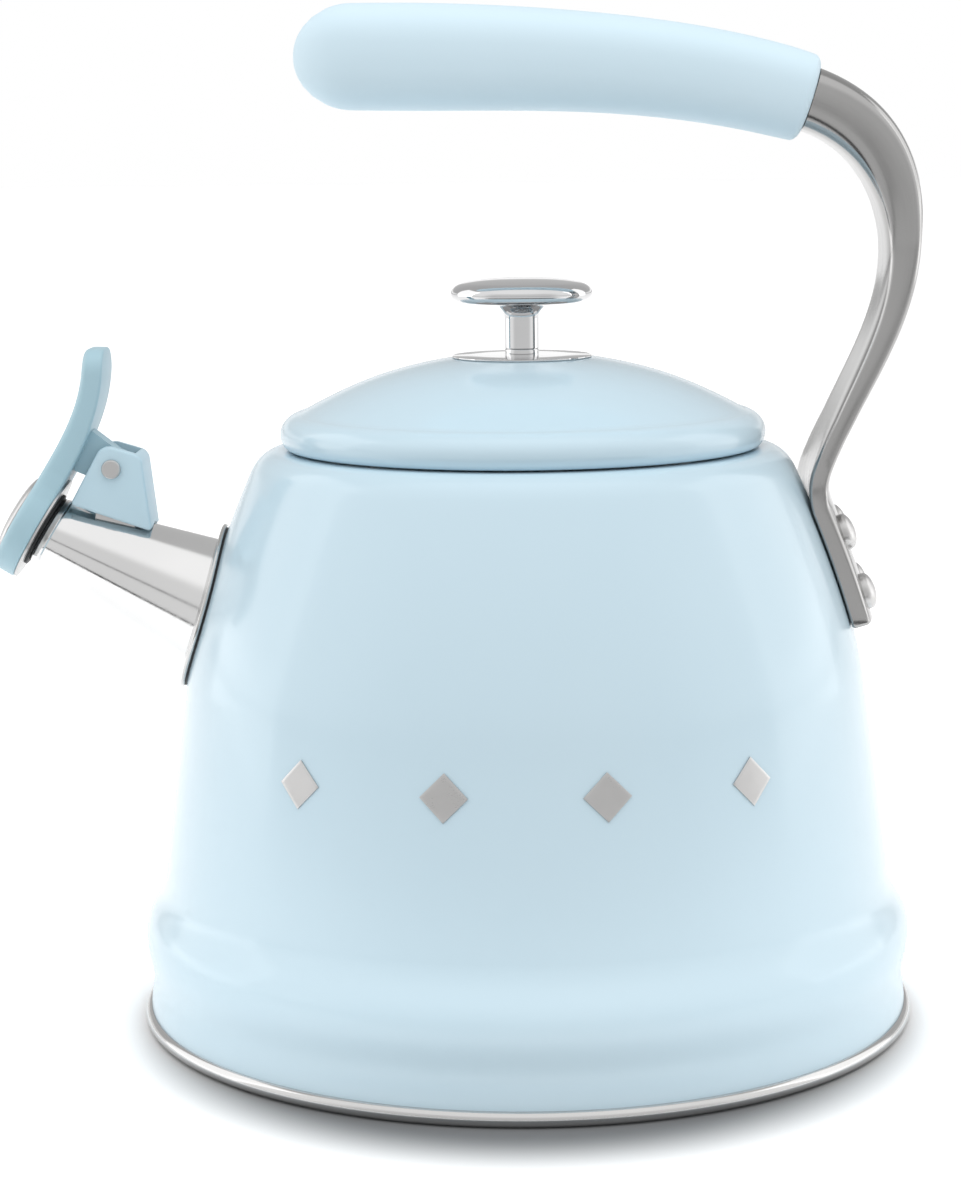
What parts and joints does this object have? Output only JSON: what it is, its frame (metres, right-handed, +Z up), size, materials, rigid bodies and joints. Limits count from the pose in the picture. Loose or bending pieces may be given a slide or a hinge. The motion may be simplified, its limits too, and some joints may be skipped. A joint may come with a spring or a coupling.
{
  "type": "stovetop whistling kettle",
  "caption": "Enamelled stovetop kettle with a lift-off lid and knob, a tapered steel spout with a sprung whistle flap, and an open steel bar handle with a soft grip.",
  "frame": {"origin": "on the body's axis, at the underside of the foot", "axes": "+Z up along the body's axis, spout towards -X, handle towards +X, the XZ plane is the middle plane of spout and handle"},
  "size_m": [0.2246, 0.19, 0.2455],
  "materials": {
    "blue_enamel": "glossy pastel blue enamel",
    "polished_steel": "mirror-polished stainless steel",
    "chrome_plate": "bright chrome",
    "satin_steel": "satin stainless steel",
    "core_aluminium": "plain aluminium",
    "blue_plastic": "fine-grained moulded plastic",
    "blue_silicone": "matte soft-touch silicone",
    "black_silicone": "black silicone seal",
    "clear_silicone": "translucent white silicone",
    "core_nylon": "dark glass-filled nylon"
  },
  "bodies": {
    "kettle": {"body_shell": "blue_enamel", "vessel_floor": "satin_steel", "base_core": "core_aluminium", "base_sole": "satin_steel", "base_ring": "polished_steel", "front_marks": "satin_steel", "spout_tube": "polished_steel", "spout_flange": "polished_steel", "spout_seal": "black_silicone", "bracket_saddle": "satin_steel", "hinge_bracket": "blue_plastic", "hinge_pin": "satin_steel", "flap_spring": "satin_steel", "handle_bar": "polished_steel", "handle_rivets": "satin_steel", "rivet_washers": "satin_steel", "grip_core": "core_nylon", "core_pins": "satin_steel", "handle_grip": "blue_silicone"},
    "flap": {"whistle_flap": "blue_plastic", "whistle_cap": "polished_steel", "whistle_plate": "polished_steel", "whistle_cup": "satin_steel", "flap_gasket": "black_silicone"},
    "lid": {"lid_shell": "blue_enamel", "lid_skirt": "satin_steel", "lid_seal": "clear_silicone", "knob_rose": "chrome_plate", "knob_collar": "chrome_plate", "lid_knob": "chrome_plate", "lid_screw": "satin_steel", "lid_washer": "satin_steel"}
  },
  "joints": [
    {"name": "flap_hinge", "type": "hinge", "parent": "kettle", "child": "flap", "pos_m": [-0.0993, 0, 0.1357], "axis": [0, 1, 0], "range_deg": [0, 65], "stiffness_Nm_per_rad": 0.03, "springref_deg": -34.38},
    {"name": "lid_lift", "type": "slide", "parent": "kettle", "child": "lid", "axis": [0, 0, 1], "range_m": [0, 0.032]}
  ]
}
